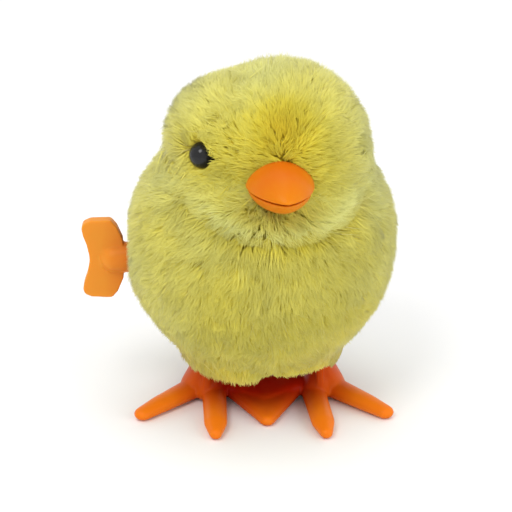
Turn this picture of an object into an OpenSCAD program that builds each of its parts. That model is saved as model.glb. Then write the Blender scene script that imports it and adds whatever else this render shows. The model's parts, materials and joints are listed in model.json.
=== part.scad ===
// Wind-up hopping chicken: a plush chick over a two-part shell, with a clockwork
// motor, a winding key on its right side and a one-piece five-toed foot plate.
// Millimetres. +Z is up, the chick faces -Y, its left side is +X.
// The origin is on the flat sole of the foot plate.

/* [Plush] */
// Half width of the plush body at its widest
body_half_width = 22.8; // [20:0.1:26]
// Height of the plush hem above the floor
hem_height = 7.5; // [6:0.1:9]
// Height where the body plush meets the head plush
neck_height = 44; // [43:0.5:45]
// Radius of the main head lobe
head_radius = 15.6; // [14:0.1:17]
// Height of the centre of the head lobe
head_height = 46.4; // [44:0.1:48]

/* [Shell] */
// Wall thickness of the hard shell
shell_wall = 1.2; // [1:0.1:1.6]
// Radius of the shell's head dome
dome_radius = 11.6; // [11:0.1:12]
// Gap between the shell and the plush
plush_gap = 0.25; // [0.1:0.05:0.5]

/* [Face] */
// Turn of the face towards the chick's left
face_turn = 7; // [0:1:9]
// Sideways place of the head
head_shift = -1; // [-1.5:0.1:0]
// Width of the beak
beak_width = 11; // [9:0.1:12]
// Length of the beak in front of its base
beak_length = 9.4; // [8:0.1:11]
// Height of the mouth line
mouth_height = 44.2; // [43:0.1:46]
// Height of the upper beak at its base
beak_height = 5.2; // [4:0.1:6]
// Angle of each eye from straight ahead
eye_angle = 57; // [45:1:65]
// Angle of each eye above the head dome's centre
eye_lift = 8; // [0:1:15]
// Radius of an eye's dome
eye_radius = 2.2; // [1.8:0.1:2.8]

/* [Key] */
// Height of the winding axis
key_height = 26.1; // [25.9:0.1:26.4]
// Radius of the key's shaft
key_shaft_radius = 2.6; // [2.3:0.1:2.8]
// Rounding of the corners of the key's bow
key_wing_corner = 0.8; // [0.4:0.1:1.2]
// Thickness of the key's bow
key_bow_thickness = 2.2; // [1.8:0.1:2.8]

/* [Feet] */
// Thickness of the foot plate
foot_thickness = 2.4; // [2:0.1:3]
// Radius of a toe near its tip
toe_radius = 1.8; // [1.5:0.1:2.1]
// Reach of the forward toes in front of the origin
toe_reach = 18.6; // [17:0.1:21]
// Half the span of the outer toes
toe_span = 21.9; // [19:0.1:23]
// How far both forward toes lean towards the left side at their tips
toe_lean = 1; // [0:0.1:2]

/* [Motor] */
// Half width of the motor case
case_half_width = 8.5; // [8.3:0.1:8.6]
// Wall thickness of the motor case
case_wall = 1.2; // [1:0.1:1.3]
// Gear module
gear_module = 0.4; // [0.4:0.01:0.4]
// Offset of a cam's centre from the crankshaft's axis
cam_throw = 0.8; // [0.6:0.05:0.9]

/* [Hidden] */

plush_colour = [0.86, 0.78, 0.30];
orange_colour = [0.92, 0.46, 0.10];
shell_colour = [0.86, 0.86, 0.82];
case_colour = [0.90, 0.62, 0.20];
steel_colour = [0.66, 0.67, 0.69];
gear_colour = [0.88, 0.87, 0.82];
black_colour = [0.05, 0.05, 0.05];

run_gap = 0.05;  // radial clearance of a shaft in its bearing
inner_half = case_half_width - case_wall;

// Axes of the motor as [y, z]
axis_key = [-1, key_height];
axis_second = [4.4, key_height - 8.4];
axis_crank = [-2.35, key_height - 9.2];
axis_governor = [-7.25, key_height - 6.5];
axis_foot = [5.5, key_height - 12.8];
spring_post = [-7.6, key_height + 6.8];
lift = key_height - 26.4;  // rise of the motor case with its key axis
arbor_radius = 1.2;
second_radius = 0.7;
crank_radius = 0.65;
governor_radius = 0.4;

// Places along the motor's width as [from, to]
great_span = [-7.0, -5.6];
ratchet_span = [-5.4, -4.5];
spring_span = [-4.1, 0.5];
second_span = [1.2, 2.4];
third_span = [3.2, 4.4];
fly_span = [5.2, 6.7];
ear_span = [8.9, 10.5];

head_centre = [0.8, -3, 46];
eye_seat = 12.6;  // distance of an eye's seat from the head centre
beak_x = 1.1;

big = 80;

// A solid drawn in the YZ plane from x0 to x1
module across(x0, x1) {
  translate([x0, 0, 0]) rotate([90, 0, 90]) linear_extrude(x1 - x0) children();
}

// A round bar along X
module rod(at, r, x0, x1, fn = 40) {
  translate([x0, at[0], at[1]]) rotate([0, 90, 0]) cylinder(h = x1 - x0, r = r, $fn = fn);
}

// ---------- gears ----------

pressure_angle = 25;
function inv(a) = tan(a) * 180 / PI - a;
function flank_angle(r, rb) = r <= rb ? 0 : inv(acos(rb / r));

// Outline of an involute gear, with tooth 0 centred on angle a0
function gear_points(teeth, a0, addendum, thin = 0.045) =
  let (
    rp = gear_module * teeth / 2,
    rb = rp * cos(pressure_angle),
    ra = rp + addendum * gear_module,
    rf = rp - 1.15 * gear_module,
    half = 90 / teeth - thin / rp * 180 / PI + flank_angle(rp, rb),
    radii = [rf, max(rf, rb) + 0.02, rp, ra]
  )
  [for (t = [0 : teeth - 1], s = [-1, 1], k = [0 : 3])
    let (
      i = s < 0 ? k : 3 - k,
      r = radii[i],
      a = a0 + t * 360 / teeth + s * (half - flank_angle(r, rb))
    ) [r * cos(a), r * sin(a)]];

// Tooth phase of a gear meshing with one whose tooth 0 is at angle a1
function mesh_phase(a1, n1, n2, dir) = dir + 180 - (360 / n2) * (0.5 - (dir - a1) * n1 / 360);
function heading(p, q) = atan2(q[1] - p[1], q[0] - p[0]);

great_teeth = 40;
second_pinion_teeth = 10;
second_teeth = 24;
crank_pinion_teeth = 10;
crank_teeth = 20;
governor_teeth = 8;

great_phase = 0;
second_phase = mesh_phase(great_phase, great_teeth, second_pinion_teeth, heading(axis_key, axis_second));
crank_phase = mesh_phase(second_phase, second_teeth, crank_pinion_teeth, heading(axis_second, axis_crank));
governor_phase = mesh_phase(crank_phase, crank_teeth, governor_teeth, heading(axis_crank, axis_governor));

module gear(at, teeth, a0, addendum, x0, x1) {
  across(x0, x1) translate(at) polygon(gear_points(teeth, a0, addendum));
}

// ---------- plush ----------

body_profile = [[0.56, 0], [0.6, 1.5], [0.632, 2.5], [0.72, 4.5], [0.788, 6.5], [0.842, 8.5],
  [0.886, 10.5], [0.925, 12.5], [0.978, 16.5], [1, 20.5], [1, 24.5], [0.974, 28.5], [0.9, 32.5],
  [0.862, 34.7], [0.79, 36]];

shell_profile = [[15, 15], [16.4, 18], [17.5, 22], [18, 27], [18, 32], [17.4, 36],
  [15.6, 40], [13.2, 43], [10, 45.5]];

// Revolved bell under the neck, grown by g all round
module bell(g, foot_z = 15) {
  rotate_extrude($fn = 96) polygon(concat([[0, foot_z]],
    [for (i = [0 : len(shell_profile) - 1])
      [shell_profile[i][0] + g, (i == 0 ? foot_z : shell_profile[i][1] + g * i / 10)]],
    [[0, 46 + g]]));
}

// Frame of the head, which is turned a little on the body
module face() { translate([head_shift, 0, 0]) rotate([0, 0, face_turn]) children(); }

module dome(g) { face() translate(head_centre) sphere(r = dome_radius + g, $fn = 96); }

// Room under the shell for the motor and the legs
module leg_room() {
  rotate_extrude($fn = 96) polygon([[0, 5], [12, 5], [12, 8], [12.8, 10], [13.8, 13],
    [13.9, 16], [0, 16]]);
}

module eye_place(side) {
  face() translate(head_centre) rotate([0, 0, side * eye_angle]) rotate([90 - eye_lift, 0, 0]) children();
}

module head_lobes() face() {
  translate([2.6, -4, head_height]) sphere(r = head_radius, $fn = 96);
  translate([-5.6, -0.8, 47.4]) sphere(r = 11.4, $fn = 72);
}

// Opening that both plush pieces leave round the beak
module beak_socket() {
  face() translate([beak_x - beak_width / 2 - 0.4, -26, mouth_height - 2.3])
    cube([beak_width + 0.8, 12, beak_height + 3.1]);
}

module fur_body() color(plush_colour) difference() {
  rotate_extrude($fn = 96) polygon(concat([[0, hem_height]],
    [for (p = body_profile) [p[0] * body_half_width, hem_height + p[1]]],
    [[0.72 * body_half_width, neck_height], [0, neck_height]]));
  bell(plush_gap);
  dome(plush_gap);
  leg_room();
  beak_socket();
  rod(axis_key, key_shaft_radius + 0.5, -big, 0, 48);
}

module fur_head() color(plush_colour) difference() {
  head_lobes();
  translate([-big, -big, -big]) cube([2 * big, 2 * big, big + neck_height + 0.2]);
  bell(plush_gap);
  dome(plush_gap);
  for (side = [-1, 1]) eye_place(side) translate([0, 0, 9]) cylinder(h = 21, r = eye_radius + 0.7, $fn = 40);
  beak_socket();
}

// ---------- shell ----------

shell_posts = [[-6.5, 31], [5.5, 31]];
shell_bolts = [[0.5, 40.3], [-2, 52]];
bolt_boss_radius = 2.6;
bolt_seats = [-11.6, -6.4];  // floor of each counterbore in the right half

// The shell's outside, grown by g
module shell_form(g) {
  bell(g);
  dome(g);
}

module shell_half(side) difference() {
  intersection() {
    union() {
      difference() {
        shell_form(0);
        union() {
          bell(-shell_wall, 14);
          dome(-shell_wall);
        }
      }
      for (p = shell_posts) rod(p, 1.6, side > 0 ? case_half_width : -16.6,
        side > 0 ? 16.6 : -case_half_width);
      intersection() {
        for (p = shell_bolts) rod(p, bolt_boss_radius, side > 0 ? 0 : -20, side > 0 ? 20 : 0);
        shell_form(-0.3);
      }
    }
    translate([side > 0 ? 0 : -big, -big, 0]) cube([big, 2 * big, big]);
  }
  // screw holes: clearance through the right half, pilot in the left half
  for (p = shell_bolts) if (side > 0) rod(p, 0.9, -1, 5.5); else rod(p, 1.2, -20, 1);
  if (side < 0) {
    for (i = [0, 1]) rod(shell_bolts[i], 2, -20, bolt_seats[i]);
    rod(axis_key, key_shaft_radius + 0.4, -25, -5, 48);
  }
  eye_place(side) cylinder(h = 20, r = 0.95, $fn = 40);
  face() translate([beak_x, -5, head_height]) rotate([90, 0, 0]) cylinder(h = 20, r = 1.55, $fn = 40);
}

module shell_left() color(shell_colour) shell_half(1);
module shell_right() color(shell_colour) shell_half(-1);

module shell_screws() color(steel_colour) {
  for (i = [0, 1]) {
    rod(shell_bolts[i], 1.9, bolt_seats[i] - 1.1, bolt_seats[i]);
    rod(shell_bolts[i], 0.85, bolt_seats[i] - 0.05, 5);
  }
}

// ---------- face ----------

module ogive(len, half, height) {
  scale([1, 1, height / half]) rotate([90, 0, 0]) rotate_extrude($fn = 64)
    polygon([[0, 0], [half, 0], [half * 0.99, len * 0.16], [half * 0.94, len * 0.38],
      [half * 0.82, len * 0.6], [half * 0.62, len * 0.79], [half * 0.38, len * 0.92],
      [half * 0.17, len * 0.985], [0, len]]);
}

module beak() color(orange_colour) face() difference() {
  union() {
    // upper and lower halves, closed on a shared base
    translate([beak_x, -17.6, mouth_height]) intersection() {
      ogive(beak_length, beak_width / 2, beak_height);
      translate([-10, -20, 0.18]) cube([20, 22, 10]);
    }
    translate([beak_x, -17.6, mouth_height]) intersection() {
      ogive(beak_length * 0.94, beak_width / 2 * 0.94, 1.9);
      translate([-10, -20, -10]) cube([20, 22, 10 - 0.18]);
    }
    translate([beak_x - 3.4, -18.6, mouth_height - 1]) cube([6.8, 1.2, 4.2]);
    translate([beak_x, -11.2, head_height]) rotate([90, 0, 0])
      cylinder(h = 6.8, r = 1.5, $fn = 40);
  }
  for (s = [-1, 1]) translate([beak_x + s * 1.7, -21.8, mouth_height + 4.9])
    sphere(r = 0.7, $fn = 16);
}

module beak_washer() color(steel_colour) face() translate([beak_x, -11.8, head_height])
  rotate([90, 0, 0]) difference() {
    cylinder(h = 0.8, r = 3.1, $fn = 40);
    translate([0, 0, -1]) cylinder(h = 3, r = 1.52, $fn = 40);
  }

module eye(side) color(black_colour) eye_place(side) {
  translate([0, 0, eye_seat]) cylinder(h = 0.8, r = eye_radius, $fn = 40);
  translate([0, 0, eye_seat + 0.75]) intersection() {
    sphere(r = eye_radius, $fn = 40);
    translate([-5, -5, 0]) cube([10, 10, 10]);
  }
  translate([0, 0, 8.9]) cylinder(h = eye_seat - 8.8, r = 0.9, $fn = 40);
}

module eye_left() eye(1);
module eye_right() eye(-1);

module eye_washers() color(steel_colour) for (side = [-1, 1]) eye_place(side)
  translate([0, 0, 9.3]) difference() {
    cylinder(h = 0.7, r = 2.2, $fn = 40);
    translate([0, 0, -1]) cylinder(h = 3, r = 0.92, $fn = 40);
  }

// ---------- winder ----------

bow_x = -26.8;
// one wing of the bow about the middle of its waist: outer edge, end, inner edge
wing_points = [[3.2, -1.6], [-2.4, -1.6], [-2.5, 0.6], [-2.9, 2.6], [-3.5, 4.3], [-3.7, 5.5], [-3.4, 6.3], [-2.2, 6.85],
  [1.2, 6.95], [2.2, 5.8], [3.2, 3.4]];
key_inner = -9.2;

module winding_key() color(orange_colour) translate([0, axis_key[0], axis_key[1]]) difference() {
  union() {
    // two-winged bow in an upright plane
    translate([0, key_bow_thickness / 2, 0]) rotate([90, 0, 0]) linear_extrude(key_bow_thickness) {
      for (s = [0, 1]) mirror([0, s]) translate([bow_x, 0])
        offset(r = key_wing_corner, $fn = 40) offset(delta = -key_wing_corner) polygon(wing_points);
    }
    translate([bow_x + 1.7, 0, 0]) sphere(r = key_shaft_radius, $fn = 48);
    translate([bow_x + 1.7, 0, 0]) rotate([0, 90, 0])
      cylinder(h = key_inner - bow_x - 1.7, r = key_shaft_radius, $fn = 48);
  }
  translate([-14.4, -1, -1]) cube([10, 2, 2]);
}

spring_slot_angle = 20;

module winding_arbor() color(steel_colour) difference() {
  union() {
    rod(axis_key, arbor_radius, -9.3, 8.3, 48);
    translate([-14, axis_key[0] - 0.9, axis_key[1] - 0.9]) cube([5, 1.8, 1.8]);
    rod(axis_key, 1.9, spring_span[0] - 0.2, spring_span[1] + 0.3, 48);
  }
  translate([0, axis_key[0], axis_key[1]]) rotate([spring_slot_angle, 0, 0])
    translate([spring_span[0] - 0.3, 1.3, -0.3]) cube([5.3, 1.2, 0.6]);
}

ratchet_teeth = 10;
module ratchet_wheel() color(steel_colour) difference() {
  across(ratchet_span[0], ratchet_span[1]) translate(axis_key) polygon(
    [for (t = [0 : ratchet_teeth - 1], k = [0, 1])
      let (a = t * 360 / ratchet_teeth + k * 2, r = k == 0 ? 2.3 : 3.2) [r * cos(a), r * sin(a)]]);
  rod(axis_key, arbor_radius + 0.02, -10, 0, 48);
}

// Sprung pawl riveted on the great wheel, its tip behind a ratchet tooth
click_pin = [-5.4, 1.4];
module click_spring() color(steel_colour) difference() {
  across(ratchet_span[0] - 0.05, ratchet_span[1] - 0.1) translate(axis_key) {
    translate(click_pin) circle(r = 1, $fn = 32);
    polygon([[-5.2, 0.5], [-4.6, -1.2], [-3.25, -2.0], [-2.55, -1.98], [-3.0, -1.55], [-4.1, -0.8], [-4.6, 1.6]]);
  }
  rod(axis_key + click_pin, 0.52, -10, 0, 32);
}

module great_wheel() color(gear_colour) difference() {
  union() {
    gear(axis_key, great_teeth, great_phase, 0.8, great_span[0], great_span[1]);
    rod(axis_key + click_pin, 0.5, great_span[1] - 0.1, ratchet_span[1] - 0.1, 32);
  }
  rod(axis_key, arbor_radius + run_gap, -10, 0, 48);
  for (a = [60 : 120 : 300]) rod(axis_key + 5.2 * [cos(a + 15), sin(a + 15)], 1.3, -10, 0, 32);
}

// ---------- mainspring ----------

spring_turns = 5.4;
spring_r0 = 2.3;
spring_r1 = 7.6;
spring_end = heading(axis_key, spring_post);
spring_steps = 130;
function spiral(t, off) =
  let (
    a = spring_end - (1 - t) * spring_turns * 360,
    r = spring_r0 + (spring_r1 - spring_r0) * t + off
  ) [r * cos(a), r * sin(a)];

module mainspring() color(steel_colour) across(spring_span[0], spring_span[1]) translate(axis_key) {
  polygon(concat([for (i = [0 : spring_steps]) spiral(i / spring_steps, 0.14)],
    [for (i = [spring_steps : -1 : 0]) spiral(i / spring_steps, -0.14)]));
  // outer eye round the case post
  translate(spring_post - axis_key) difference() {
    circle(r = 1.45, $fn = 32);
    circle(r = 1.15, $fn = 32);
  }
  rotate(spring_end) translate([spring_r1 - 0.1, -0.15]) square([0.75, 0.3]);
}

// ---------- motor case ----------

module case_outline(g) {
  translate([0, lift]) {
    for (s = [-1, 1]) {
      translate([s * 4, 18]) circle(r = 7 - g, $fn = 64);
      translate([s * 8, 33.2]) circle(r = 3 - g, $fn = 48);
    }
    translate([-11 + g, 18]) square([22 - 2 * g, 15.2]);
    translate([-8, 18]) square([16, 18.2 - g]);
    translate([-4, 11 + g]) square([8, 8]);
  }
}

case_bolts = [[8, key_height + 6.8], [-7.7, key_height - 11.4]];

module bearings(x0, x1) {
  rod(axis_key, arbor_radius + run_gap, x0, x1, 48);
  rod(axis_second, second_radius + run_gap, x0, x1);
  rod(axis_crank, crank_radius + run_gap, x0, x1);
  rod(axis_governor, governor_radius + run_gap, x0, x1);
  rod(axis_foot, 0.95, x0, x1);
}

module motor_case() color(case_colour) difference() {
  union() {
    difference() {
      across(-case_half_width, inner_half) case_outline(0);
      across(-inner_half, inner_half + 1) case_outline(case_wall);
    }
    rod(spring_post, 0.8, -inner_half - 0.2, inner_half - 0.1);
    intersection() {
      for (p = case_bolts) rod(p, 1.25, -inner_half - 0.2, inner_half);
      across(-case_half_width, inner_half) case_outline(0.1);
    }
  }
  bearings(-10, -5);
  for (p = case_bolts) rod(p, 0.6, 1, 10);
}

module motor_cover() color(case_colour) difference() {
  across(inner_half, case_half_width) case_outline(0);
  bearings(5, 10);
  for (p = case_bolts) {
    rod(p, 0.7, 5, 10);
    rod(p, 1.1, case_half_width - 0.6, 10);
  }
}

module motor_screws() color(steel_colour) for (p = case_bolts) {
  rod(p, 1.05, case_half_width - 0.55, case_half_width - 0.02);
  rod(p, 0.55, 2, case_half_width - 0.5);
}

// ---------- train ----------

module second_arbor() color(steel_colour) rod(axis_second, second_radius, -8.3, 8.3);

module second_gear() color(gear_colour) difference() {
  union() {
    gear(axis_second, second_pinion_teeth, second_phase, 0.9, great_span[0] - 0.1, great_span[1] + 0.4);
    rod(axis_second, 1.45, great_span[1] + 0.3, second_span[0] + 0.1);
    gear(axis_second, second_teeth, second_phase, 0.8, second_span[0], second_span[1]);
  }
  rod(axis_second, second_radius + 0.02, -10, 10);
}

module crankshaft() color(steel_colour) rod(axis_crank, crank_radius, -10.3, 10.3);

module crank_gear() color(gear_colour) difference() {
  union() {
    gear(axis_crank, crank_pinion_teeth, crank_phase, 0.9, second_span[0] - 0.2, third_span[0] + 0.1);
    gear(axis_crank, crank_teeth, crank_phase, 0.8, third_span[0], third_span[1]);
  }
  rod(axis_crank, crank_radius + 0.02, -10, 10);
}

module cam(x0, x1) color(orange_colour) difference() {
  rod(axis_crank + [-cam_throw, 0], 2.2, x0, x1, 48);
  rod(axis_crank, crank_radius + 0.02, x0 - 1, x1 + 1);
}

module cam_left() cam(ear_span[0], ear_span[1] - 0.1);
module cam_right() cam(-ear_span[1] + 0.1, -ear_span[0]);

module governor_arbor() color(steel_colour) rod(axis_governor, governor_radius, -8.3, 8.3);

module governor_pinion() color(gear_colour) difference() {
  gear(axis_governor, governor_teeth, governor_phase, 0.9, third_span[0] - 0.2, third_span[1] + 0.4);
  rod(axis_governor, governor_radius + 0.02, -10, 10);
}

module governor_fly() color(steel_colour) difference() {
  rod(axis_governor, 2.2, fly_span[0], fly_span[1]);
  rod(axis_governor, governor_radius + 0.02, -10, 10);
  for (s = [-1, 1]) translate([4, axis_governor[0] + s * 1.9 - 0.5, axis_governor[1] - 0.3])
    cube([4, 1, 0.6]);
}

// ---------- foot plate ----------

// Tapered toe between two round ends, as centre and radius
module toe(p, rp, q, rq) {
  d = norm(q - p);
  a = heading(p, q);
  b = acos((rp - rq) / d);
  translate(p) circle(r = rp, $fn = 40);
  translate(q) circle(r = rq, $fn = 40);
  polygon([for (c = [a + b, a - b]) p + 0.975 * rp * [cos(c), sin(c)],
    for (c = [a - b, a + b]) q + 0.975 * rq * [cos(c), sin(c)]]);
}

module foot_outline() {
  for (s = [-1, 1]) {
    // forward toe, narrowing to its tip
    toe([s * 8.5, -1], 2.1, [s * 9 + 0.8 * toe_lean, 4.1 - toe_reach], toe_radius);
    toe([s * 9 + 0.8 * toe_lean, 4.1 - toe_reach], toe_radius, [s * 9.2 + toe_lean, 1 - toe_reach], 1);
    // outer toe
    toe([s * 10.8, 0.6], 2.5, [s * 17.6, -6.6], toe_radius);
    toe([s * 17.6, -6.6], toe_radius, [s * (toe_span - 1.3), -9.8], 1.3);
    // short heel
    toe([s * 8, 6], 3.2, [s * 9, 10], 1.8);
  }
  toe([0, -0.8], 6.9, [toe_lean / 2, -12.3], 1.3);
  translate([-10.9, -0.4]) square([21.8, 8.8]);
}

ear_points = concat([[4.2, 2], [-4.2, 2], [-4.8, 8]],
  [for (p = [[-6.7, 12.6], [-6.7, 21.2], [-5.8, 22.05], [1.1, 22.05], [2, 21.2], [2, 17.4],
    [6.6, 15.7], [7.7, 13.9], [7.2, 12.2], [5.3, 9.8]]) p + [0, lift]], [[4.2, 8]]);

module ear() difference() {
  across(ear_span[0], ear_span[1]) polygon(ear_points);
  translate([5, axis_crank[0] - 3.45, axis_crank[1] - 3.85]) cube([10, 6.9, 7.7]);
  rod(axis_foot, 1.55, 5, 15);
}

module leg() translate([0, 4.2, 0]) rotate([90, 0, 0]) linear_extrude(8.4)
  polygon([[ear_span[0], 1.2], [14.2, 1.2], [13.6, 3.2], [12.6, 5.2], [11.7, 6.3], [ear_span[0], 6.3]]);

module foot_plate() color(orange_colour) {
  linear_extrude(foot_thickness) foot_outline();
  leg();
  ear();
  mirror([1, 0, 0]) {
    leg();
    ear();
  }
}

module foot_pivot_screws() color(steel_colour) for (s = [-1, 1]) mirror([s > 0 ? 0 : 1, 0, 0]) {
  rod(axis_foot, 0.9, 6.7, case_half_width + 0.1);
  rod(axis_foot, 1.5, case_half_width, 10.6);
  rod(axis_foot, 1.9, 10.55, 11.05);
}

fur_body();
fur_head();
shell_left();
shell_right();
shell_screws();
beak();
beak_washer();
eye_left();
eye_right();
eye_washers();
winding_key();
winding_arbor();
ratchet_wheel();
click_spring();
great_wheel();
mainspring();
motor_case();
motor_cover();
motor_screws();
second_arbor();
second_gear();
crankshaft();
crank_gear();
cam_left();
cam_right();
governor_arbor();
governor_pinion();
governor_fly();
foot_plate();
foot_pivot_screws();
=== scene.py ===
"""Wind-up hopping chicken: plush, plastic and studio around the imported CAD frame."""

import json
import math

import bmesh
import bpy
import numpy as np
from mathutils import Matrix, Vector
from mathutils.kdtree import KDTree


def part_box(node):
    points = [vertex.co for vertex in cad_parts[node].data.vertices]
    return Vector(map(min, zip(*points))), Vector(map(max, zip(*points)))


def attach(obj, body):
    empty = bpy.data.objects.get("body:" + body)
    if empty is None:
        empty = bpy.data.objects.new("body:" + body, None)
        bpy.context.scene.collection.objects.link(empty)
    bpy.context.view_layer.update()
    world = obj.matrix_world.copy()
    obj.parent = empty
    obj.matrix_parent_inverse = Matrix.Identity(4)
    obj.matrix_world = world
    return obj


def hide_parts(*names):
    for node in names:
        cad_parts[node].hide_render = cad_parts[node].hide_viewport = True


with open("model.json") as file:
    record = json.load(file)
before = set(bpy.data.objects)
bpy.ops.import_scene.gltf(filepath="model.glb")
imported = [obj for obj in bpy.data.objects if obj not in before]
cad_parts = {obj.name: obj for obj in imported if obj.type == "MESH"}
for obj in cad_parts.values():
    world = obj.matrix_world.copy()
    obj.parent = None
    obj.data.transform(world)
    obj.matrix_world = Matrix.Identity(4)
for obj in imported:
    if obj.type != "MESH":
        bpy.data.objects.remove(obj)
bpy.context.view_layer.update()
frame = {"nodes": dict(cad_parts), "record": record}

MM = 0.001
nodes = frame["nodes"]
rng = np.random.default_rng(20)


def box_mm(node):
    low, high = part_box(node)
    return np.array(low) / MM, np.array(high) / MM


# ---------------------------------------------------------------- the plush form
# Lengths in this part are millimetres.

body_low, body_high = box_mm("fur_body")
_, head_high = box_mm("fur_head")
_, shell_high = box_mm("shell_left")
key_low, key_high = box_mm("winding_key")
beak_low, beak_high = box_mm("beak")

HEM = body_low[2]
BODY_R = (body_high[0] - body_low[0]) / 2
TOP = head_high[2]
KEY_Y, KEY_Z = (key_low[1] + key_high[1]) / 2, (key_low[2] + key_high[2]) / 2
UP = np.array([0.0, 0.0, 1.0])
TINY = 1e-9  # keeps a division from failing

FACE_TURN, FACE_SHIFT = math.radians(7), -1.0  # the head's frame on the body


def to_face(p):
    """The same points in the frame of the head, which is turned a little on the body."""
    c, s = math.cos(FACE_TURN), math.sin(FACE_TURN)
    x, y = p[..., 0] - FACE_SHIFT, p[..., 1]
    return np.stack([x * c + y * s, y * c - x * s, p[..., 2]], -1)


def from_face(p):
    """Points of the head's frame in the frame of the body."""
    c, s = math.cos(FACE_TURN), math.sin(FACE_TURN)
    x, y = p[..., 0], p[..., 1]
    return np.stack([x * c - y * s + FACE_SHIFT, x * s + y * c, p[..., 2]], -1)


# The hard shell under the plush: a bell, as radii at heights above the floor, with a dome for the head
SHELL_Z = np.array([4, 8, 10, 13, 15, 18, 22, 27, 32, 36, 40, 43, 45.5, 47])
SHELL_W = np.array([12.15, 12.15, 12.9, 13.95, 15.2, 16.5, 17.6, 18, 18, 17.4, 15.6, 13.2, 10, 0.5])
BELL_TOP = 46.3
DOME_R = 11.6
DOME = from_face(np.array([0.8, -3.0, shell_high[2] - DOME_R]))

# Radius of the plush body at heights above the floor, hem to neck
BODY_Z = np.array([4, 7.5, 10, 12, 14, 16, 18, 20, 24, 28, 32, 36, 40, 44, 47, 49.5, 51])
BODY_W = BODY_R * np.array([
    0.45, 0.56, 0.61, 0.69, 0.767, 0.834, 0.888, 0.932,
    0.984, 1.005, 1.005, 0.98, 0.9, 0.77, 0.61, 0.4, 0.02,
])
# Where the middle of the body is: it sits a little to the key's side, more so towards the hem
MIDDLE_Z, MIDDLE_X = (8, 14, 22, 30), (-0.75, -0.5, -0.3, -0.15)
MIDDLE_Y = -0.3
KEY_BULGE, BULGE_DROP, BULGE_SPREAD = 1.0, 1.0, 40.0  # rise, how far below the shaft, and square millimetres

# Lobes of the head, in its frame: centre and radii
LOBES = (
    ((4.2, -4.2, TOP - 15.6), (14.3, 15.2, 15.2)),
    ((-5.7, -2.4, TOP - 14.2), (10.6, 13.2, 10.9)),
    ((6.2, -1.0, TOP - 17.6), (12.2, 13.5, 12.8)),
    ((1.0, 2.0, TOP - 17.0), (14.2, 13.8, 13.0)),
)
LOBE_BLEND, NECK_BLEND, SHELL_BLEND = 3.0, 1.5, 0.9  # how softly the forms run into each other

# The oval of the face, in the head's frame
FACE_X, FACE_Y, FACE_DROP = 1.1, -19.5, 16.1  # its middle, the last below the top of the head
FACE_WIDE, FACE_TALL = 14.2, 9.9  # half width and half height
FACE_UP_Y, FACE_UP_Z = 0.375, 0.927  # the way up it, which tips back

PILE = 3.6  # depth of the pile from the knitted backing to its outer surface
SHELL_ROOM = 0.5  # least distance from the shell to the outside of the backing

# How far above the hem's level the plush ends: at places across the front, and at the back by
# the distance from the middle
HEM_X = (-12.5, -9.4, -7, -4.5, -1.6, 0.2, 2.7, 5.5, 10.2, 12)
HEM_FRONT = (0.2, 0.3, -0.2, -0.5, 0.5, 2.5, 1.8, 1.5, 1.3, 0.3)
HEM_OUT, HEM_BACK = (6, 9), (-1.2, 0.3)
HEM_SLACK = 0.3  # what a rise of the hem has to pass before the backing follows it


def unit(v):
    return v / np.maximum(np.linalg.norm(v, axis=-1, keepdims=True), TINY)


def hump(x, width):
    """1 where x is 0, falling softly away to 0 on both sides."""
    return np.exp(-((x / width) ** 2))


def distance(p, q):
    return np.linalg.norm(p - q, axis=1)


def flattened(v, n):
    """Those vectors laid flat on the surface that has these normals."""
    return v - (v * n).sum(1, keepdims=True) * n


def smooth_min(a, b, k):
    h = np.clip(0.5 + 0.5 * (b - a) / k, 0, 1)
    return b * (1 - h) + a * h - k * h * (1 - h)


def round_field(off_axis, z, heights, radii):
    """Signed distance, roughly, from a round form, for points that far from its axis."""
    radius = np.interp(z, heights, radii)
    slope = np.interp(z, heights, np.gradient(radii, heights))
    return (off_axis - radius) / np.sqrt(1 + slope**2)


def lobe_field(p, centre, radii):
    """Signed distance, roughly, from an ellipsoid."""
    q = (p - centre) / radii
    r = np.sqrt((q**2).sum(1))
    steep = np.sqrt(((q / radii) ** 2).sum(1)) * min(radii)
    return (r - 1) * r * min(radii) / np.maximum(steep, 1e-6)


def face_rim(q):
    """Where points of the head's frame lie on the face, 1 at its rim, and how far below the mouth, 0 to 1."""
    up = FACE_UP_Y * (q[:, 1] - FACE_Y) + FACE_UP_Z * (q[:, 2] - TOP + FACE_DROP)
    below = np.clip(-up / 4, 0, 1) * (q[:, 1] < 0)
    return np.hypot((q[:, 0] - FACE_X) / FACE_WIDE, up / FACE_TALL), below


def outer_field(p, creased=True):
    """Signed distance, roughly, from the outer surface of the plush: negative inside."""
    middle = np.interp(p[:, 2], MIDDLE_Z, MIDDLE_X)
    body = round_field(np.hypot(p[:, 0] - middle, p[:, 1] - MIDDLE_Y), p[:, 2], BODY_Z, BODY_W)
    # the key's shaft pushes the plush out a little
    from_shaft = (p[:, 1] - KEY_Y) ** 2 + (p[:, 2] - KEY_Z + BULGE_DROP) ** 2
    body -= KEY_BULGE * (p[:, 0] < 0) * np.exp(-from_shaft / BULGE_SPREAD)
    turned = to_face(p)
    head = lobe_field(turned, *LOBES[0])
    for lobe in LOBES[1:]:
        head = smooth_min(head, lobe_field(turned, *lobe), LOBE_BLEND)
    field = smooth_min(body, head, NECK_BLEND)
    if creased:
        rim, below = face_rim(turned)
        field += below * (1.2 * hump(rim - 1.12, 0.1) - 0.8 * hump(rim - 0.92, 0.11))
    return field


def shell_field(p):
    """Signed distance, roughly, from the outside of the shell."""
    bell = round_field(np.hypot(p[:, 0], p[:, 1]), p[:, 2], SHELL_Z, SHELL_W)
    return np.minimum(np.maximum(bell, p[:, 2] - BELL_TOP), distance(p, DOME) - DOME_R)


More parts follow.
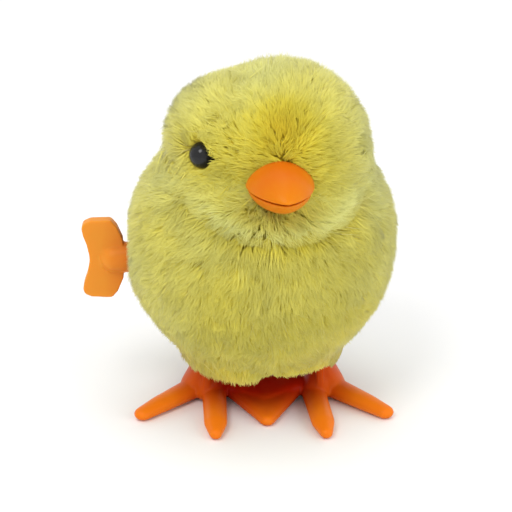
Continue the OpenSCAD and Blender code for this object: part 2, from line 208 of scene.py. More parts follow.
def skin_field(p):
    """The knitted backing: a pile's depth inside the plush, but never inside the shell."""
    return smooth_min(outer_field(p) + PILE, shell_field(p) - SHELL_ROOM, SHELL_BLEND)


def hem_rise(p):
    """How far above the hem's level the plush ends: parted at the front and lower to one side."""
    front = np.interp(p[:, 0], HEM_X, HEM_FRONT)
    back = np.interp(np.abs(p[:, 0]), HEM_OUT, HEM_BACK)
    side = np.clip((p[:, 1] + 6) / 6, 0, 1)
    return front * (1 - side) + back * side


def backing_rise(p):
    """How far the backing's edge is lifted with the hem."""
    return np.maximum(hem_rise(p) - HEM_SLACK, 0)


def gradient(p, h=0.15):
    """Outward direction, without the crease under the face."""
    g = np.empty_like(p)
    for i in range(3):
        d = np.zeros(3)
        d[i] = h
        g[:, i] = outer_field(p + d, False) - outer_field(p - d, False)
    return unit(g)


CORE = np.array([0.8, -1.2, 32.0])  # every ray from here leaves the plush once
NEAR, FAR = 2.0, 45.0  # distances from the core between which every surface lies


def on_level(directions, field, level=0.0):
    """Points where rays from the core reach that level of the field."""
    low = np.full(len(directions), NEAR)
    high = np.full(len(directions), FAR)
    for _ in range(20):
        mid = (low + high) / 2
        inside = field(CORE + directions * mid[:, None]) < level
        low = np.where(inside, mid, low)
        high = np.where(inside, high, mid)
    return CORE + directions * low[:, None]


GOLDEN = math.pi * (3 - math.sqrt(5))


def spiral(count, turn=GOLDEN):
    """Directions spread evenly over a sphere."""
    k = np.arange(count) + 0.5
    z = 1 - 2 * k / count
    out = np.sqrt(1 - z * z)
    return np.stack([out * np.cos(k * turn), out * np.sin(k * turn), z], 1)


HASH = (73856093, 19349663, 83492791)  # primes that scatter a grid's cells over a table
TABLE = 4096


def value_noise(p, size, seed):
    """Smooth random vectors over space, with features of about that size."""
    r = np.random.default_rng(seed)
    table = r.uniform(-1, 1, (TABLE, 3))
    q = p / size
    i = np.floor(q).astype(np.int64)
    f = q - i
    f = f * f * (3 - 2 * f)
    out = np.zeros_like(p)
    for corner in range(8):
        o = np.array([corner & 1, corner >> 1 & 1, corner >> 2 & 1])
        c = i + o
        key = (c[:, 0] * HASH[0] ^ c[:, 1] * HASH[1] ^ c[:, 2] * HASH[2]) & (TABLE - 1)
        weight = np.prod(np.where(o, f, 1 - f), axis=1)
        out += table[key] * weight[:, None]
    return out


# ---------------------------------------------------------------- meshes and materials


def link_object(name, data):
    """A new object in the scene, with that mesh, light or camera."""
    obj = bpy.data.objects.new(name, data)
    bpy.context.scene.collection.objects.link(obj)
    return obj


def mesh_object(name, verts, faces, smooth=True):
    """An object from vertices in millimetres."""
    mesh = bpy.data.meshes.new(name)
    mesh.from_pydata((np.asarray(verts) * MM).tolist(), [], faces)
    mesh.update()
    if smooth:
        mesh.polygons.foreach_set("use_smooth", [True] * len(mesh.polygons))
    return link_object(name, mesh)


def material(name):
    mat = bpy.data.materials.new(name)
    mat.use_nodes = True
    tree = mat.node_tree
    return mat, tree, tree.nodes["Principled BSDF"]


def node(tree, kind, **inputs):
    n = tree.nodes.new(kind)
    for key, value in inputs.items():
        n.inputs[key.replace("_", " ")].default_value = value
    return n


def ramp(tree, factor, stops):
    n = tree.nodes.new("ShaderNodeValToRGB")
    while len(n.color_ramp.elements) < len(stops):
        n.color_ramp.elements.new(0.5)
    for e, (at, colour) in zip(n.color_ramp.elements, stops):
        e.position = at
        e.color = (*colour, 1)
    tree.links.new(factor, n.inputs["Fac"])
    return n


def fine_bump(tree, shader, scale, strength, distance=0.0001):
    """Fine noise in object space, and a bump from it."""
    coord = tree.nodes.new("ShaderNodeTexCoord")
    noise = node(tree, "ShaderNodeTexNoise", Scale=scale, Detail=4.0)
    tree.links.new(coord.outputs["Object"], noise.inputs["Vector"])
    bump = node(tree, "ShaderNodeBump", Strength=strength, Distance=distance)
    tree.links.new(noise.outputs["Fac"], bump.inputs["Height"])
    tree.links.new(bump.outputs["Normal"], shader.inputs["Normal"])
    return coord, noise


def roughness_range(tree, shader, noise, low, high):
    m = tree.nodes.new("ShaderNodeMapRange")
    m.inputs["To Min"].default_value = low
    m.inputs["To Max"].default_value = high
    tree.links.new(noise.outputs["Fac"], m.inputs["Value"])
    tree.links.new(m.outputs["Result"], shader.inputs["Roughness"])


def plastic(name, near, far, reach, roughness=(0.3, 0.42), sss=0.25, centre=(0, 0, 0)):
    """Moulded plastic that goes from near to far colour over a distance in metres."""
    mat, tree, shader = material(name)
    coord, noise = fine_bump(tree, shader, 900, 0.12)
    roughness_range(tree, shader, noise, *roughness)
    offset = node(tree, "ShaderNodeVectorMath")
    offset.operation = "DISTANCE"
    offset.inputs[1].default_value = centre
    tree.links.new(coord.outputs["Object"], offset.inputs[0])
    span = tree.nodes.new("ShaderNodeMapRange")
    span.inputs["From Min"].default_value = reach[0]
    span.inputs["From Max"].default_value = reach[1]
    tree.links.new(offset.outputs["Value"], span.inputs["Value"])
    # a faint mottle, added to the place between the two colours
    mottle = node(tree, "ShaderNodeTexNoise", Scale=240.0, Detail=3.0)
    tree.links.new(coord.outputs["Object"], mottle.inputs["Vector"])
    add = tree.nodes.new("ShaderNodeMath")
    add.operation = "MULTIPLY_ADD"
    add.inputs[1].default_value = 0.16
    tree.links.new(mottle.outputs["Fac"], add.inputs[0])
    tree.links.new(span.outputs["Result"], add.inputs[2])
    colours = ramp(tree, add.outputs["Value"], ((0.06, near), (1.0, far)))
    tree.links.new(colours.outputs["Color"], shader.inputs["Base Color"])
    shader.inputs["Subsurface Weight"].default_value = sss
    shader.inputs["Subsurface Radius"].default_value = (1.0, 0.35, 0.12)
    shader.inputs["Specular IOR Level"].default_value = 0.1
    shader.inputs["Subsurface Scale"].default_value = 0.002
    return mat


def simple(name, colour, roughness, metallic=0.0, scale=700, bump=0.15, vary=0.12):
    """A material whose colour and roughness vary a little over fine noise."""
    mat, tree, shader = material(name)
    _, noise = fine_bump(tree, shader, scale, bump)
    roughness_range(tree, shader, noise, *roughness)
    dark = tuple(c * (1 - vary) for c in colour)
    colours = ramp(tree, noise.outputs["Fac"], ((0.3, dark), (0.7, colour)))
    tree.links.new(colours.outputs["Color"], shader.inputs["Base Color"])
    shader.inputs["Metallic"].default_value = metallic
    return mat


def srgb(r, g, b):
    return tuple(((c / 255 + 0.055) / 1.055) ** 2.4 if c > 10 else c / 255 / 12.92 for c in (r, g, b))


def pile_material(name, pale, warm):
    """Plush fibre. The tone attribute's red runs from the backing, 0, to the fibre's tip, 1; its
    green is the fibre's shade and its blue its warmth, which mixes the two lists of colours. Both
    lists run from a darker, deeper root to a paler tip: painted shade deep in the pile."""
    mat, tree, shader = material(name)
    tone = tree.nodes.new("ShaderNodeAttribute")
    tone.attribute_name = "tone"
    split = tree.nodes.new("ShaderNodeSeparateColor")
    tree.links.new(tone.outputs["Color"], split.inputs["Color"])
    colours = tree.nodes.new("ShaderNodeMix")
    colours.data_type = "RGBA"
    tree.links.new(split.outputs["Blue"], colours.inputs[0])
    for stops, socket in ((pale, 6), (warm, 7)):
        part = ramp(tree, split.outputs["Red"], tuple(zip((0.0, 0.5, 1.0), stops)))
        tree.links.new(part.outputs["Color"], colours.inputs[socket])
    shade = tree.nodes.new("ShaderNodeHueSaturation")
    value = tree.nodes.new("ShaderNodeMapRange")
    value.inputs["To Min"].default_value = 0.86
    value.inputs["To Max"].default_value = 1.13
    tree.links.new(split.outputs["Green"], value.inputs["Value"])
    tree.links.new(value.outputs["Result"], shade.inputs["Value"])
    tree.links.new(colours.outputs[2], shade.inputs["Color"])
    tree.links.new(shade.outputs["Color"], shader.inputs["Base Color"])
    shader.inputs["Roughness"].default_value = 0.85
    shader.inputs["Specular IOR Level"].default_value = 0.08
    shader.inputs["Sheen Weight"].default_value = 0.25
    shader.inputs["Sheen Roughness"].default_value = 0.5
    return mat


# ---------------------------------------------------------------- plush backing

RING_COUNT, RING_POINTS = 52, 112
EDGE = HEM + 0.7  # height of the backing's lower edge
INNER_GAP = 0.28  # from the shell to the backing's inner wall
LIP = 1.02  # how much wider the edge is than the shell's fit


def rings_of(field, level):
    """Rings of points from the top down to the backing's edge, on that level of the field."""
    a = np.linspace(0, 2 * math.pi, RING_POINTS, endpoint=False)
    flat = np.stack([np.cos(a), np.sin(a), np.zeros(RING_POINTS)], 1)
    rings = []
    for i in range(1, RING_COUNT + 1):
        t = math.pi * i / RING_COUNT
        ring = on_level(math.sin(t) * flat + math.cos(t) * UP, field, level)
        if ring[:, 2].min() < EDGE:
            break
        rings.append(ring)
    last = rings[-1].copy()
    last[:, :2] = unit(last[:, :2]) * (np.interp(EDGE, SHELL_Z, SHELL_W) + level + 0.1)
    last[:, 2] = EDGE
    return rings + [last]


def backing():
    """The knitted backing: a closed skin with an inner wall just clear of the shell."""
    outer = rings_of(skin_field, 0.0)
    outer[-1][:, :2] *= LIP
    rings = outer + rings_of(shell_field, INNER_GAP)[::-1]
    crown, inner_crown = on_level(UP[None], skin_field), on_level(UP[None], shell_field, INNER_GAP)
    verts = np.concatenate([crown, *rings, inner_crown])
    near_edge = np.clip(1 - (verts[:, 2] - EDGE) / 6, 0, 1)
    verts[:, 2] += near_edge * backing_rise(verts)
    n = RING_POINTS
    faces = [(0, 1 + j, 1 + (j + 1) % n) for j in range(n)]
    for i in range(len(rings) - 1):
        for j in range(n):
            p, q = 1 + i * n + j, 1 + i * n + (j + 1) % n
            faces.append((p, p + n, q + n, q))
    end, last = len(verts) - 1, 1 + (len(rings) - 1) * n
    faces += [(last + (j + 1) % n, last + j, end) for j in range(n)]
    return mesh_object("plush_backing", verts, faces)


# ---------------------------------------------------------------- pile

STRANDS, WIDTH = ((215000, 0.17))
TUFT = 42  # fibres to a tuft
ROUND = 0.3  # how far a fibre's own roundness shows in its light
PIECE = 17000  # fibres to a mesh
BAND = 7  # the meshes take the fibres in bands of this height
SHORTEST, LONGEST = 0.4, 8.0  # length of a fibre
SPARE = 2.2  # rays to a root, before they are thinned
ROOTS_FROM = HEM + 0.8  # height of the lowest roots

# The beak, in the head's frame
BEAK_X, BEAK_HALF = FACE_X, 5.5
BEAK_BASE = -18.0  # the pile keeps clear of the beak in front of this
BEAK_ROOT = -17.6  # where the moulding's two halves begin
BEAK_Z, BEAK_RISE = (beak_low[2] + beak_high[2]) / 2, (beak_high[2] - beak_low[2]) / 2
MOUTH_LINE = beak_low[2] + 2.3
MOUTH = from_face(np.array([BEAK_X, BEAK_BASE - 1.5, BEAK_Z]))
WHORL = from_face(np.array([2.3, -14.2, TOP - 10.0]))  # middle of the warm patch above the beak

EYE_R = 2.2  # radius of an eye's dome
EYE_TILT = np.array([-0.37, 0.0, 0.93])  # the long way of the gap in front of an eye
ANKLE_X, ANKLE_Y = 9, 5.5  # the ankles rock outside this x and inside this y
SHAFT_FROM, SHAFT_ROOM = -12, 2.7  # the key's shaft: room round it, outward from this x
BOW_DEPTH, BOW_ROOM = 7.4, 7.8  # the key's bow: how far in from its end, and the room round it


def heading(azimuth, elevation):
    """Unit vector towards a viewer at that azimuth and elevation."""
    a, e = math.radians(azimuth), math.radians(elevation)
    return np.array([math.sin(a) * math.cos(e), -math.cos(a) * math.cos(e), math.sin(e)])


def eye_centre(side):
    """Centre of an eye's dome, from the point of the eye farthest from the middle of the head."""
    obj = nodes["eye_" + side]
    verts = np.array([obj.matrix_world @ v.co for v in obj.data.vertices]) / MM
    tip = verts[np.argmax(np.linalg.norm(verts - DOME, axis=1))]
    return tip - EYE_R * unit(tip - DOME)


# Each eye's centre, the direction in which the pile parts in front of it, and the half width and
# half height of the gap
EYES = (
    (eye_centre("right"), heading(-20, 18), (1.5, 2.2)),
    (eye_centre("left"), heading(80, 10), (1.3, 1.6)),
)


def comb(p, n):
    """Direction in which the pile is brushed, along the surface."""
    near = hump(distance(p, MOUTH), 16.0)[:, None]
    head = np.clip((p[:, 2:3] - 38) / 6, 0, 1)
    crown = np.clip((p[:, 2:3] - 50) / 8, 0, 1)
    back = crown * np.array([0, 0.6, 0.0])
    side = p * np.array([1, 0.4, 0]) / BODY_R
    rest = -(0.75 - 0.45 * head) * UP + head * back + (0.5 - 0.2 * head) * side
    flow = 1.7 * near * unit(p - MOUTH) + (1 - near) * rest
    flow = flow + 0.6 * value_noise(p, 5.5, 3) + 0.5 * value_noise(p, 2.4, 4)
    return unit(flattened(flow, n))


def sample_roots(count):
    """Evenly spread points of the backing: a spiral of rays, thinned by the area that each covers."""
    d = spiral(int(count * SPARE))
    p = on_level(d, skin_field)
    n = gradient(p)
    area = distance(p, CORE) ** 2 / np.maximum((n * d).sum(1), 0.15)
    chance = np.minimum(area / np.percentile(area, 93), 1)
    keep = (p[:, 2] > ROOTS_FROM + backing_rise(p)) & (rng.random(len(d)) < chance)
    p, n = p[keep], n[keep]
    if len(p) > count:
        pick = np.sort(rng.choice(len(p), count, replace=False))
        p, n = p[pick], n[pick]
    return p + flattened(rng.normal(0, 0.12, p.shape), n), n


def is_free(p):
    """True where pile may lie: clear of the ankles, the eyes, the beak and the key."""
    ok = ~((p[:, 2] < HEM + 0.3) & (np.abs(p[:, 0]) > ANKLE_X) & (np.abs(p[:, 1]) < ANKLE_Y))
    for centre, axis, (half_width, half_height) in EYES:
        q = p - centre
        along = q @ axis
        upright = unit(EYE_TILT - (EYE_TILT @ axis) * axis)
        across = unit(np.cross(upright, axis))
        off = np.hypot(q @ across / half_width, q @ upright / half_height)
        ok &= ~((along > -EYE_R) & (off < 1 + 0.07 * np.maximum(along, 0)))
    q = to_face(p)
    across = np.abs(q[:, 0] - BEAK_X) / (BEAK_HALF * 0.97)
    up = np.abs(q[:, 2] - BEAK_Z) / (BEAK_RISE * 0.92)
    ok &= ~((q[:, 1] < BEAK_BASE) & (across**1.5 + up**1.5 < 1))
    off = np.hypot(p[:, 1] - KEY_Y, p[:, 2] - KEY_Z)
    ok &= ~((p[:, 0] < SHAFT_FROM) & (off < SHAFT_ROOM))
    ok &= ~((p[:, 0] < key_low[0] + BOW_DEPTH) & (off < BOW_ROOM))
    return ok


def reach_level(p, direction, slope, level):
    """Length of a fibre from p whose tip lies on that level of the plush's surface."""
    size = np.clip((level - outer_field(p)) / slope, SHORTEST, LONGEST)
    for _ in range(2):
        miss = level - outer_field(p + direction * size[:, None])
        size = np.clip(size + 0.8 * miss / slope, SHORTEST, LONGEST)
    return size


def leaning(n, flow, angle):
    """Directions that lean from the normal towards the flow by an angle."""
    return n * np.cos(angle)[:, None] + flow * np.sin(angle)[:, None]


def tufts(count, r):
    """Tufts as centres, the flow of each along the surface, its lean, its tip and its shade."""
    centres, normals = sample_roots(count)
    m = len(centres)
    flow = comb(centres, normals) + r.normal(0, 0.38, (m, 3))
    flow = unit(flattened(flow, normals))
    rim, below = face_rim(to_face(centres))
    fringe = below * hump(rim - 0.92, 0.14)
    calm = hump(distance(centres, MOUTH), 8.0)  # the pile stands straighter by the beak
    lean = (0.52 + 0.22 * fringe + r.normal(0, 0.12, m)) * (1 - 0.5 * calm)
    lean = np.clip(lean, 0.08, 1.1)
    aim = leaning(normals, flow, lean)
    size = reach_level(centres, aim, np.cos(lean), r.normal(-0.2, 0.18, m))
    return centres, flow, lean, centres + aim * size[:, None], r.uniform(0, 1, m)


def nearest(p, places):
    """The index of the place that is nearest to each point."""
    tree = KDTree(len(places))
    for i, place in enumerate(places):
        tree.insert(place, i)
    tree.balance()
    return np.array([tree.find(q)[1] for q in p])


def tints_of(p, n, tip, shade):
    """Depth, shade and warmth of fibres: painted light, warmer facing the front and paler facing up,
    soft patches of real tone, a painted highlight along the face's rim, painted shade in the crease
    below it and a painted orange glow by the beak.
    """
    rim, below = face_rim(to_face(tip))
    # a painted highlight: fibre tips along the face's rim made paler and brighter
    pale = below * hump(rim - 0.95, 0.12)
    # painted shade: fibres darkened in the crease below the face's rim
    painted_crease_shade = below * hump(rim - 1.14, 0.12)
    whorl = hump(distance(p, WHORL), 3.2)
    # a painted orange glow: light thrown from the beak onto the pile near it, painted as warmer, deeper
    # colour
    painted_beak_glow = hump(distance(p, MOUTH), 7.0)
    # warmer where the pile faces the front, paler where it faces up or back: painted light; the noise is real
    # patches of tone
    warmth = 0.42 - 0.45 * n[:, 1] - 0.25 * n[:, 2] + 0.45 * value_noise(p, 7.0, 9)[:, 0]
    warmth += 0.3 * painted_crease_shade - 0.7 * pale + 0.9 * whorl + 0.5 * painted_beak_glow
    depth = 0.6 * whorl + 0.3 * painted_beak_glow
    shade = shade + 0.6 * pale - 0.8 * painted_crease_shade - 0.3 * whorl + 0.45 * value_noise(p, 4.5, 12)[:, 0]
    return np.stack([depth, shade, warmth], 1).clip(0, 1)


def grow(count, width, seed):
    """Fibres as points (n, 3, 3), widths, tints and the directions that light their points."""
    r = np.random.default_rng(seed)
    p, n = sample_roots(count)
    m = len(p)
    # each fibre leans with its tuft, and its tip is drawn towards the tuft's tip
    centres, tuft_flow, lean, tuft_tip, tuft_shade = tufts(int(m / TUFT), r)
    tuft = nearest(p, centres)
    own = 0.45 * comb(p, n) + 0.55 * tuft_flow[tuft] + r.normal(0, 0.34, (m, 3))
    own = unit(flattened(own, n))
    angle = np.clip(lean[tuft] + r.normal(0, 0.2, m), 0.03, 1.2)
    aim = leaning(n, own, angle)
    size = reach_level(p, aim, np.cos(angle), r.normal(-0.3, 0.3, m))
    pull = np.clip(r.normal(0.3, 0.16, m), 0, 0.7)
    pull[r.random(m) < 0.06] = 0  # a few strays
    tip = p + aim * size[:, None]
    tip = tip + pull[:, None] * (tuft_tip[tuft] - tip)
    # at the hem the pile hangs over the backing's edge, down to a ragged line
    tip[:, 2] -= np.clip(1 - (p[:, 2] - HEM) / 6, 0, 1) ** 1.5 * r.uniform(0.8, 2.2, m)
    hemline = HEM + hem_rise(tip) + 0.5 * value_noise(tip, 1.6, 8)[:, 0] + r.uniform(-0.3, 0.5, m)
    tip[:, 2] = np.maximum(tip[:, 2], np.minimum(hemline, p[:, 2] - 0.2))
    rise = np.linalg.norm(tip - p, axis=1)
    middle = 0.25 * p + 0.5 * (p + n * (0.55 * rise)[:, None]) + 0.25 * tip
    pts = np.stack([p - 0.35 * n, middle, tip], 1)
    ok = is_free(middle) & is_free(tip) & is_free((middle + tip) / 2) & is_free((p + middle) / 2)
    shade = np.clip(0.55 * tuft_shade[tuft] + 0.45 * r.random(m), 0, 1)
    # light falls on a fibre as it does on its tuft, not as on a separate wire
    facing = unit(gradient(tip) + 0.25 * (tip - tuft_tip[tuft]))
    tints = tints_of(p, n, tip, shade)
    return pts[ok], (width * r.uniform(0.75, 1.2, m))[ok], tints[ok], facing[ok]


# A fibre has three corners at its root, three in its middle and one at its tip
# the tone's red, 0 at the root and 1 at the tip, carries the painted shade deep in the pile
CORNER_TONE = np.array([0, 0, 0, 0.5, 0.5, 0.5, 1.0])
FIBRE_FACES = np.array([
    (0, 2, 1), (0, 1, 4), (0, 4, 3), (1, 2, 5), (1, 5, 4),
    (2, 0, 3), (2, 3, 5), (3, 4, 6), (4, 5, 6), (5, 3, 6),
])
CORNERS = len(CORNER_TONE)


def strand_mesh(name, pts, widths, tints, facing, mat):
    """Closed three-sided fibres that taper to a point, in one mesh."""
    m = len(pts)
    along = unit(pts[:, 2] - pts[:, 0])
    side = unit(np.cross(along, np.array([0.31, 0.52, 0.79])))  # any direction that no fibre follows
    other = np.cross(along, side)
    verts = np.empty((m, CORNERS, 3))
    normals = np.empty((m, CORNERS, 3))
    for level, scale in enumerate((0.85, 1.0)):
        for j in range(3):
            a = 2 * math.pi * j / 3
            radial = side * math.cos(a) + other * math.sin(a)
            verts[:, 3 * level + j] = pts[:, level] + (widths * scale / 2)[:, None] * radial
            normals[:, 3 * level + j] = radial
    verts[:, -1] = pts[:, 2]
    normals[:, -1] = facing
    normals = unit(ROUND * normals + facing[:, None])
    faces = (np.arange(m)[:, None, None] * CORNERS + FIBRE_FACES).reshape(-1, 3)
    mesh = bpy.data.meshes.new(name)
    mesh.vertices.add(m * CORNERS)
    mesh.vertices.foreach_set("co", (verts.reshape(-1) * MM).astype(np.float32))
    mesh.loops.add(len(faces) * 3)
    mesh.loops.foreach_set("vertex_index", faces.reshape(-1).astype(np.int32))
    mesh.polygons.add(len(faces))
    mesh.polygons.foreach_set("loop_start", np.arange(len(faces), dtype=np.int32) * 3)
    mesh.polygons.foreach_set("loop_total", np.full(len(faces), 3, np.int32))
    mesh.polygons.foreach_set("use_smooth", np.ones(len(faces), bool))
    mesh.update(calc_edges=True)
    mesh.normals_split_custom_set_from_vertices(normals.reshape(-1, 3).tolist())
    colour = mesh.color_attributes.new("tone", "FLOAT_COLOR", "POINT")
    data = np.ones((m, CORNERS, 4), np.float32)
    data[:, :, 0] = CORNER_TONE * (1 - tints[:, :1])
    data[:, :, 1:3] = tints[:, None, 1:]
    colour.data.foreach_set("color", data.reshape(-1))
    mesh.materials.append(mat)
    return link_object(name, mesh)


# both lists darken and deepen from tip to root: painted shade deep in the pile
PLUSH = pile_material(
    "plush_pile",
    (srgb(222, 212, 96), srgb(228, 224, 118), srgb(232, 231, 148)),
    (srgb(222, 186, 34), srgb(232, 214, 70), srgb(236, 227, 108)),
)
BACKING = simple("plush_knit", srgb(214, 200, 82), (0.85, 0.95), scale=1500, bump=0.6)

plush = backing()
plush.data.materials.append(BACKING)
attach(plush, "chick")
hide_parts("fur_body", "fur_head")

strands = grow(STRANDS, WIDTH, 11)
roots = strands[0][:, 0]
band, turn = np.floor(roots[:, 2] / BAND), np.arctan2(roots[:, 1], roots[:, 0])
order = np.argsort(band * 1000 + turn, kind="stable")
strands = [part[order] for part in strands]
for number, first in enumerate(range(0, len(order), PIECE), 1):
    piece = strand_mesh(f"pile_{number:02d}", *(part[first:first + PIECE] for part in strands), PLUSH)
    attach(piece, "chick")


# ---------------------------------------------------------------- moulded pieces


def rounded(obj, voxel, smooth):
    """Joins a piece's overlapping solids into one skin and rounds its edges as a moulding's are."""
    remesh = obj.modifiers.new("remesh", "REMESH")
    remesh.mode = "VOXEL"
    remesh.voxel_size = voxel * MM
    remesh.use_smooth_shade = True
    soften = obj.modifiers.new("soften", "SMOOTH")
    soften.iterations = smooth
    soften.factor = 0.5
    dg = bpy.context.evaluated_depsgraph_get()
    mesh = bpy.data.meshes.new_from_object(obj.evaluated_get(dg))
    obj.modifiers.clear()
    obj.data = mesh
    return obj


def moulded(name, node_name, voxel, smooth):
    """A rounded copy of a CAD node."""
    return rounded(link_object(name, nodes[node_name].data.copy()), voxel, smooth)


BALL = spiral(160, 2.4)  # points of a unit ball


def add_hull(bm, *balls, points=()):
    """Adds the convex hull of flattened balls, each a centre and half sizes, and of points."""
    part = bmesh.new()
    for cloud in [np.array(centre) + BALL * half for centre, half in balls] + [np.reshape(points, (-1, 3))]:
        for v in cloud * MM:
            part.verts.new(v)
    out = bmesh.ops.convex_hull(part, input=part.verts)
    loose = [g for g in out["geom_interior"] + out["geom_unused"] if isinstance(g, bmesh.types.BMVert)]
    bmesh.ops.delete(part, geom=list(set(loose)), context="VERTS")
    mesh = bpy.data.meshes.new("hull")
    part.to_mesh(mesh)
    part.free()
    bm.from_mesh(mesh)
    bpy.data.meshes.remove(mesh)


def as_object(name, bm):
    mesh = bpy.data.meshes.new(name)
    bm.to_mesh(mesh)
    bm.free()
    return link_object(name, mesh)


def move_points(obj, change):
    """Runs all of a piece's points, in millimetres, through a function."""
    points = np.zeros(len(obj.data.vertices) * 3, np.float32)
    obj.data.vertices.foreach_get("co", points)
    moved = change(points.reshape(-1, 3).astype(float) / MM) * MM
    obj.data.vertices.foreach_set("co", moved.reshape(-1).astype(np.float32))
    obj.data.update()


# The upper and the lower half of the beak: up or down, length, half width and rise
BEAK_HALVES = ((1, 9.4, 5.5, 4.1), (-1, 8.9, 5.1, 3.4))
LIP_GAP = 0.2  # from the mouth's line to each lip
PALATE_LENGTH, PALATE_HALF, PALATE_RISE = 7.9, 4.4, 0.45  # the closed inside, set back from the lips
STEM_Z, STEM_DEPTH = TOP - 15.6, 5.4  # the stem's height, and how far in it goes


def taper(t):
    """Share of the beak's width that is left at a share of its length."""
    return (1 - t**2.0) ** 0.72


def beak_moulding():
    """Both halves of the beak, pointed in section at the corners of the mouth, on a common stem."""
    bm = bmesh.new()
    for sign, length, half, rise in BEAK_HALVES:
        ring = []
        for t in np.linspace(0, 1, 24):
            width, height = half * taper(t), rise * (1 - t**2.2) ** 0.8
            for a in np.linspace(0, math.pi, 31):
                ring.append((
                    BEAK_X + width * np.sign(math.cos(a)) * abs(math.cos(a)) ** 1.15,
                    BEAK_ROOT - length * t,
                    MOUTH_LINE + sign * (LIP_GAP + height * abs(math.sin(a)) ** 1.15),
                ))
        add_hull(bm, points=ring)
    inside = []
    for t in np.linspace(0, 1, 16):
        width, y = PALATE_HALF * taper(t), BEAK_ROOT - PALATE_LENGTH * t
        for x in (-width, width):
            inside += [(BEAK_X + x, y, MOUTH_LINE + z) for z in (-PALATE_RISE, PALATE_RISE)]
    add_hull(bm, points=inside)
    add_hull(bm, *(((BEAK_X, y, STEM_Z), (1.5, 1.0, 1.5)) for y in (BEAK_ROOT + STEM_DEPTH, BEAK_ROOT)))
    add_hull(bm, *(((BEAK_X + x, BEAK_ROOT + 0.4, MOUTH_LINE + 1.0), (1.4, 0.9, 1.7)) for x in (-2.4, 2.4)))
    obj = rounded(as_object("beak_moulding", bm), 0.12, 5)
    move_points(obj, from_face)
    return obj


EARS_FROM = 6.4  # height above which the CAD foot plate is kept
CUTTER = 60.0  # side of the cube that takes away the rest


def foot_moulding():
    """Foot plate with rounded toes and ankles, and the ears of the CAD node above them."""
    ears = link_object("ears", nodes["foot_plate"].data.copy())
    bm = bmesh.new()
    bm.from_mesh(ears.data)
    bmesh.ops.remove_doubles(bm, verts=bm.verts[:], dist=0.001 * MM)
    bm.to_mesh(ears.data)
    bm.clear()
    # only the ears are kept: the plate, the toes and the ankles are made anew below
    bmesh.ops.create_cube(bm, size=CUTTER * MM)
    bmesh.ops.translate(bm, verts=bm.verts[:], vec=(0, 0, (EARS_FROM - CUTTER / 2) * MM))
    cutter = as_object("cutter", bm)
    cut = ears.modifiers.new("cut", "BOOLEAN")
    cut.operation, cut.solver, cut.object = "DIFFERENCE", "EXACT", cutter
    bm = bmesh.new()
    bm.from_object(ears, bpy.context.evaluated_depsgraph_get())
    for obj in (ears, cutter):
        bpy.data.objects.remove(obj)
    for s in (-1, 1):
        # the forward toe, which leans to the chick's left
        knuckle = ((9 * s + 0.8, -14.0, 1.3), (2.0, 2.1, 1.35))
        add_hull(bm, ((8.5 * s, -1, 1.4), (2.15, 2.2, 1.5)), knuckle)
        add_hull(bm, knuckle, ((9.2 * s + 1.0, -17.3, 1.0), (1.15, 1.3, 1.05)))
        # the outer toe
        knuckle = ((17.6 * s, -6.8, 1.3), (1.95, 1.95, 1.35))
        add_hull(bm, ((10.8 * s, 0.6, 1.5), (2.6, 2.6, 1.6)), knuckle)
        add_hull(bm, knuckle, ((20.5 * s, -9.9, 1.05), (1.55, 1.55, 1.1)))
        # the ankle: its front, a slab up to the ear, the heel and its outer side
        add_hull(bm, ((9.2 * s, -2.4, 1.6), (2.6, 2.6, 1.7)), ((9.9 * s, -0.6, 5.4), (1.9, 2.8, 1.1)))
        add_hull(bm, points=[(x * s, y, z) for x in (9.05, 10.35) for y in (-4.5, 4.5) for z in (1.8, 6.6)])
        add_hull(bm, ((8 * s, 6, 1.2), (3.2, 3.2, 1.25)), ((9 * s, 10, 1.05), (1.8, 1.8, 1.1)))
        add_hull(bm, ((11.8 * s, 0.2, 1.9), (2.5, 3.4, 1.7)), ((10.1 * s, 0, 7.0), (1.5, 3.5, 1.0)))
    # the plate between the feet, and the wide V in front of it with its thicker root
    add_hull(bm, *(((x, y, 1.2), (1.9, 1.9, 1.25)) for x in (-9, 9) for y in (1.5, 6.4)))
    wings = [((x, -1.2, 1.3), (2.2, 2.6, 1.3)) for x in (-4.7, 4.7)]
    add_hull(bm, *wings, ((0.5, -12.3, 0.95), (1.4, 1.4, 1.0)))
    root = [((x, -0.4, 2.0), (2, 2, 1.5)) for x in (-6.5, 6.5)]
    add_hull(bm, *root, ((0.2, -5.5, 1.6), (2.0, 2.0, 1.2)))
    obj = rounded(as_object("feet", bm), 0.2, 14)
    move_points(obj, lambda p: np.maximum(p, (-99, -99, 0)))  # the flat sole
    return obj


def finish_piece(obj, mat, body, node_name):
    obj.data.materials.clear()
    obj.data.materials.append(mat)
    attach(obj, body)
    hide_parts(node_name)


# Each goes from a deep to a light orange: from the ankles to the toes' tips, from the root of the
#  beak to its tip, and from the key's shaft to the ends of its bow. On the feet and the key the deep
#  colour by the plush is painted shade. Lengths here are metres.
# the deep red by the ankles is painted shade under the plush body
FEET = plastic(
    "foot_orange", srgb(172, 22, 3), srgb(228, 118, 20), (0.0108, 0.0208),
    centre=(0, 0.005, 0.006), sss=0.12,
)
BEAK = plastic(
    "beak_orange", srgb(198, 80, 8), srgb(212, 126, 12), (0.0, 0.009),
    centre=tuple(Vector(MOUTH) * MM),
)
# the deeper orange by the shaft is painted shade where the key enters the plush, and the light far colour is
# a painted highlight
KEY = plastic(
    "key_orange", srgb(200, 74, 10), srgb(222, 142, 46), (0.018, 0.0285),
    centre=(0, KEY_Y * MM, KEY_Z * MM), sss=0.3,
)

finish_piece(foot_moulding(), FEET, "foot", "foot_plate")
finish_piece(moulded("key", "winding_key", 0.16, 5), KEY, "winder", "winding_key")
finish_piece(beak_moulding(), BEAK, "chick", "beak")

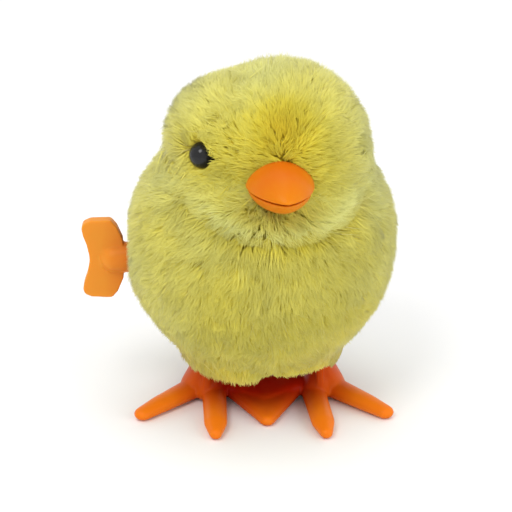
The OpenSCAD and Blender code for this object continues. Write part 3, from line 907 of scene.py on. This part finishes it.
EYE = simple("eye_black", (0.012, 0.012, 0.013), (0.08, 0.16), scale=300, bump=0.02)
EYE.node_tree.nodes["Principled BSDF"].inputs["Specular IOR Level"].default_value = 0.3
STEEL = simple("steel", (0.55, 0.56, 0.58), (0.25, 0.4), metallic=1.0)
SPRING = simple("spring_steel", (0.32, 0.33, 0.37), (0.25, 0.4), metallic=1.0)
GEAR = simple("gear_nylon", (0.78, 0.76, 0.70), (0.4, 0.55))
SHELL = simple("shell_plastic", (0.80, 0.79, 0.74), (0.45, 0.6))
CASE = simple("case_plastic", srgb(222, 130, 44), (0.35, 0.5))
CAM = simple("cam_plastic", srgb(196, 70, 22), (0.35, 0.5))
FINISHES = {
    "steel": STEEL, "spring_steel": SPRING, "gear_plastic": GEAR, "shell_plastic": SHELL,
    "case_plastic": CASE, "cam_plastic": CAM, "eye_plastic": EYE, "foot_plastic": FEET,
    "beak_plastic": BEAK, "key_plastic": KEY, "plush": BACKING,
}
for part in frame["record"]["subparts"]:
    obj = nodes[part["node"]]
    obj.data.materials.clear()
    obj.data.materials.append(FINISHES[part["material_slot"]])

# ---------------------------------------------------------------- studio

REACH = 900  # from the middle of the floor to its sides
corners = [(-REACH, -REACH, 0), (REACH, -REACH, 0), (REACH, REACH, 0), (-REACH, REACH, 0)]
floor = mesh_object("floor", corners, [(0, 1, 2, 3)], smooth=False)
PAPER = simple("floor_paper", (0.90, 0.90, 0.90), (0.8, 0.9), scale=60, bump=0.0, vary=0.01)
floor.data.materials.append(PAPER)

world = bpy.data.worlds.new("studio")
world.use_nodes = True
world.node_tree.nodes["Background"].inputs["Color"].default_value = (1, 1, 1, 1)
world.node_tree.nodes["Background"].inputs["Strength"].default_value = 0.95
bpy.context.scene.world = world


def area_light(name, at, size, power, target=(0, 0, 0.03)):
    data = bpy.data.lights.new(name, "AREA")
    data.shape = "DISK"
    data.size = size
    data.energy = power
    obj = link_object(name, data)
    obj.location = at
    obj.rotation_euler = (Vector(target) - Vector(at)).to_track_quat("-Z", "Y").to_euler()


area_light("key_light", (-0.16, -0.28, 0.42), 0.22, 0.8)
area_light("fill_light", (0.34, -0.26, 0.22), 0.30, 0.45)
area_light("top_light", (0.0, 0.1, 0.5), 0.30, 0.25)

AZIMUTH, ELEVATION = -1, 22  # degrees
DISTANCE, AIM = 0.3615, Vector((-0.0012, 0, 0.0257))
camera = link_object("camera", bpy.data.cameras.new("camera"))
camera.data.lens = 150
camera.data.clip_start, camera.data.clip_end = 0.01, 10
back = Vector(heading(AZIMUTH, ELEVATION))
camera.location = AIM + back * DISTANCE
camera.rotation_euler = (-back).to_track_quat("-Z", "Y").to_euler()
bpy.context.scene.camera = camera
bpy.context.scene.view_settings.view_transform = "Standard"
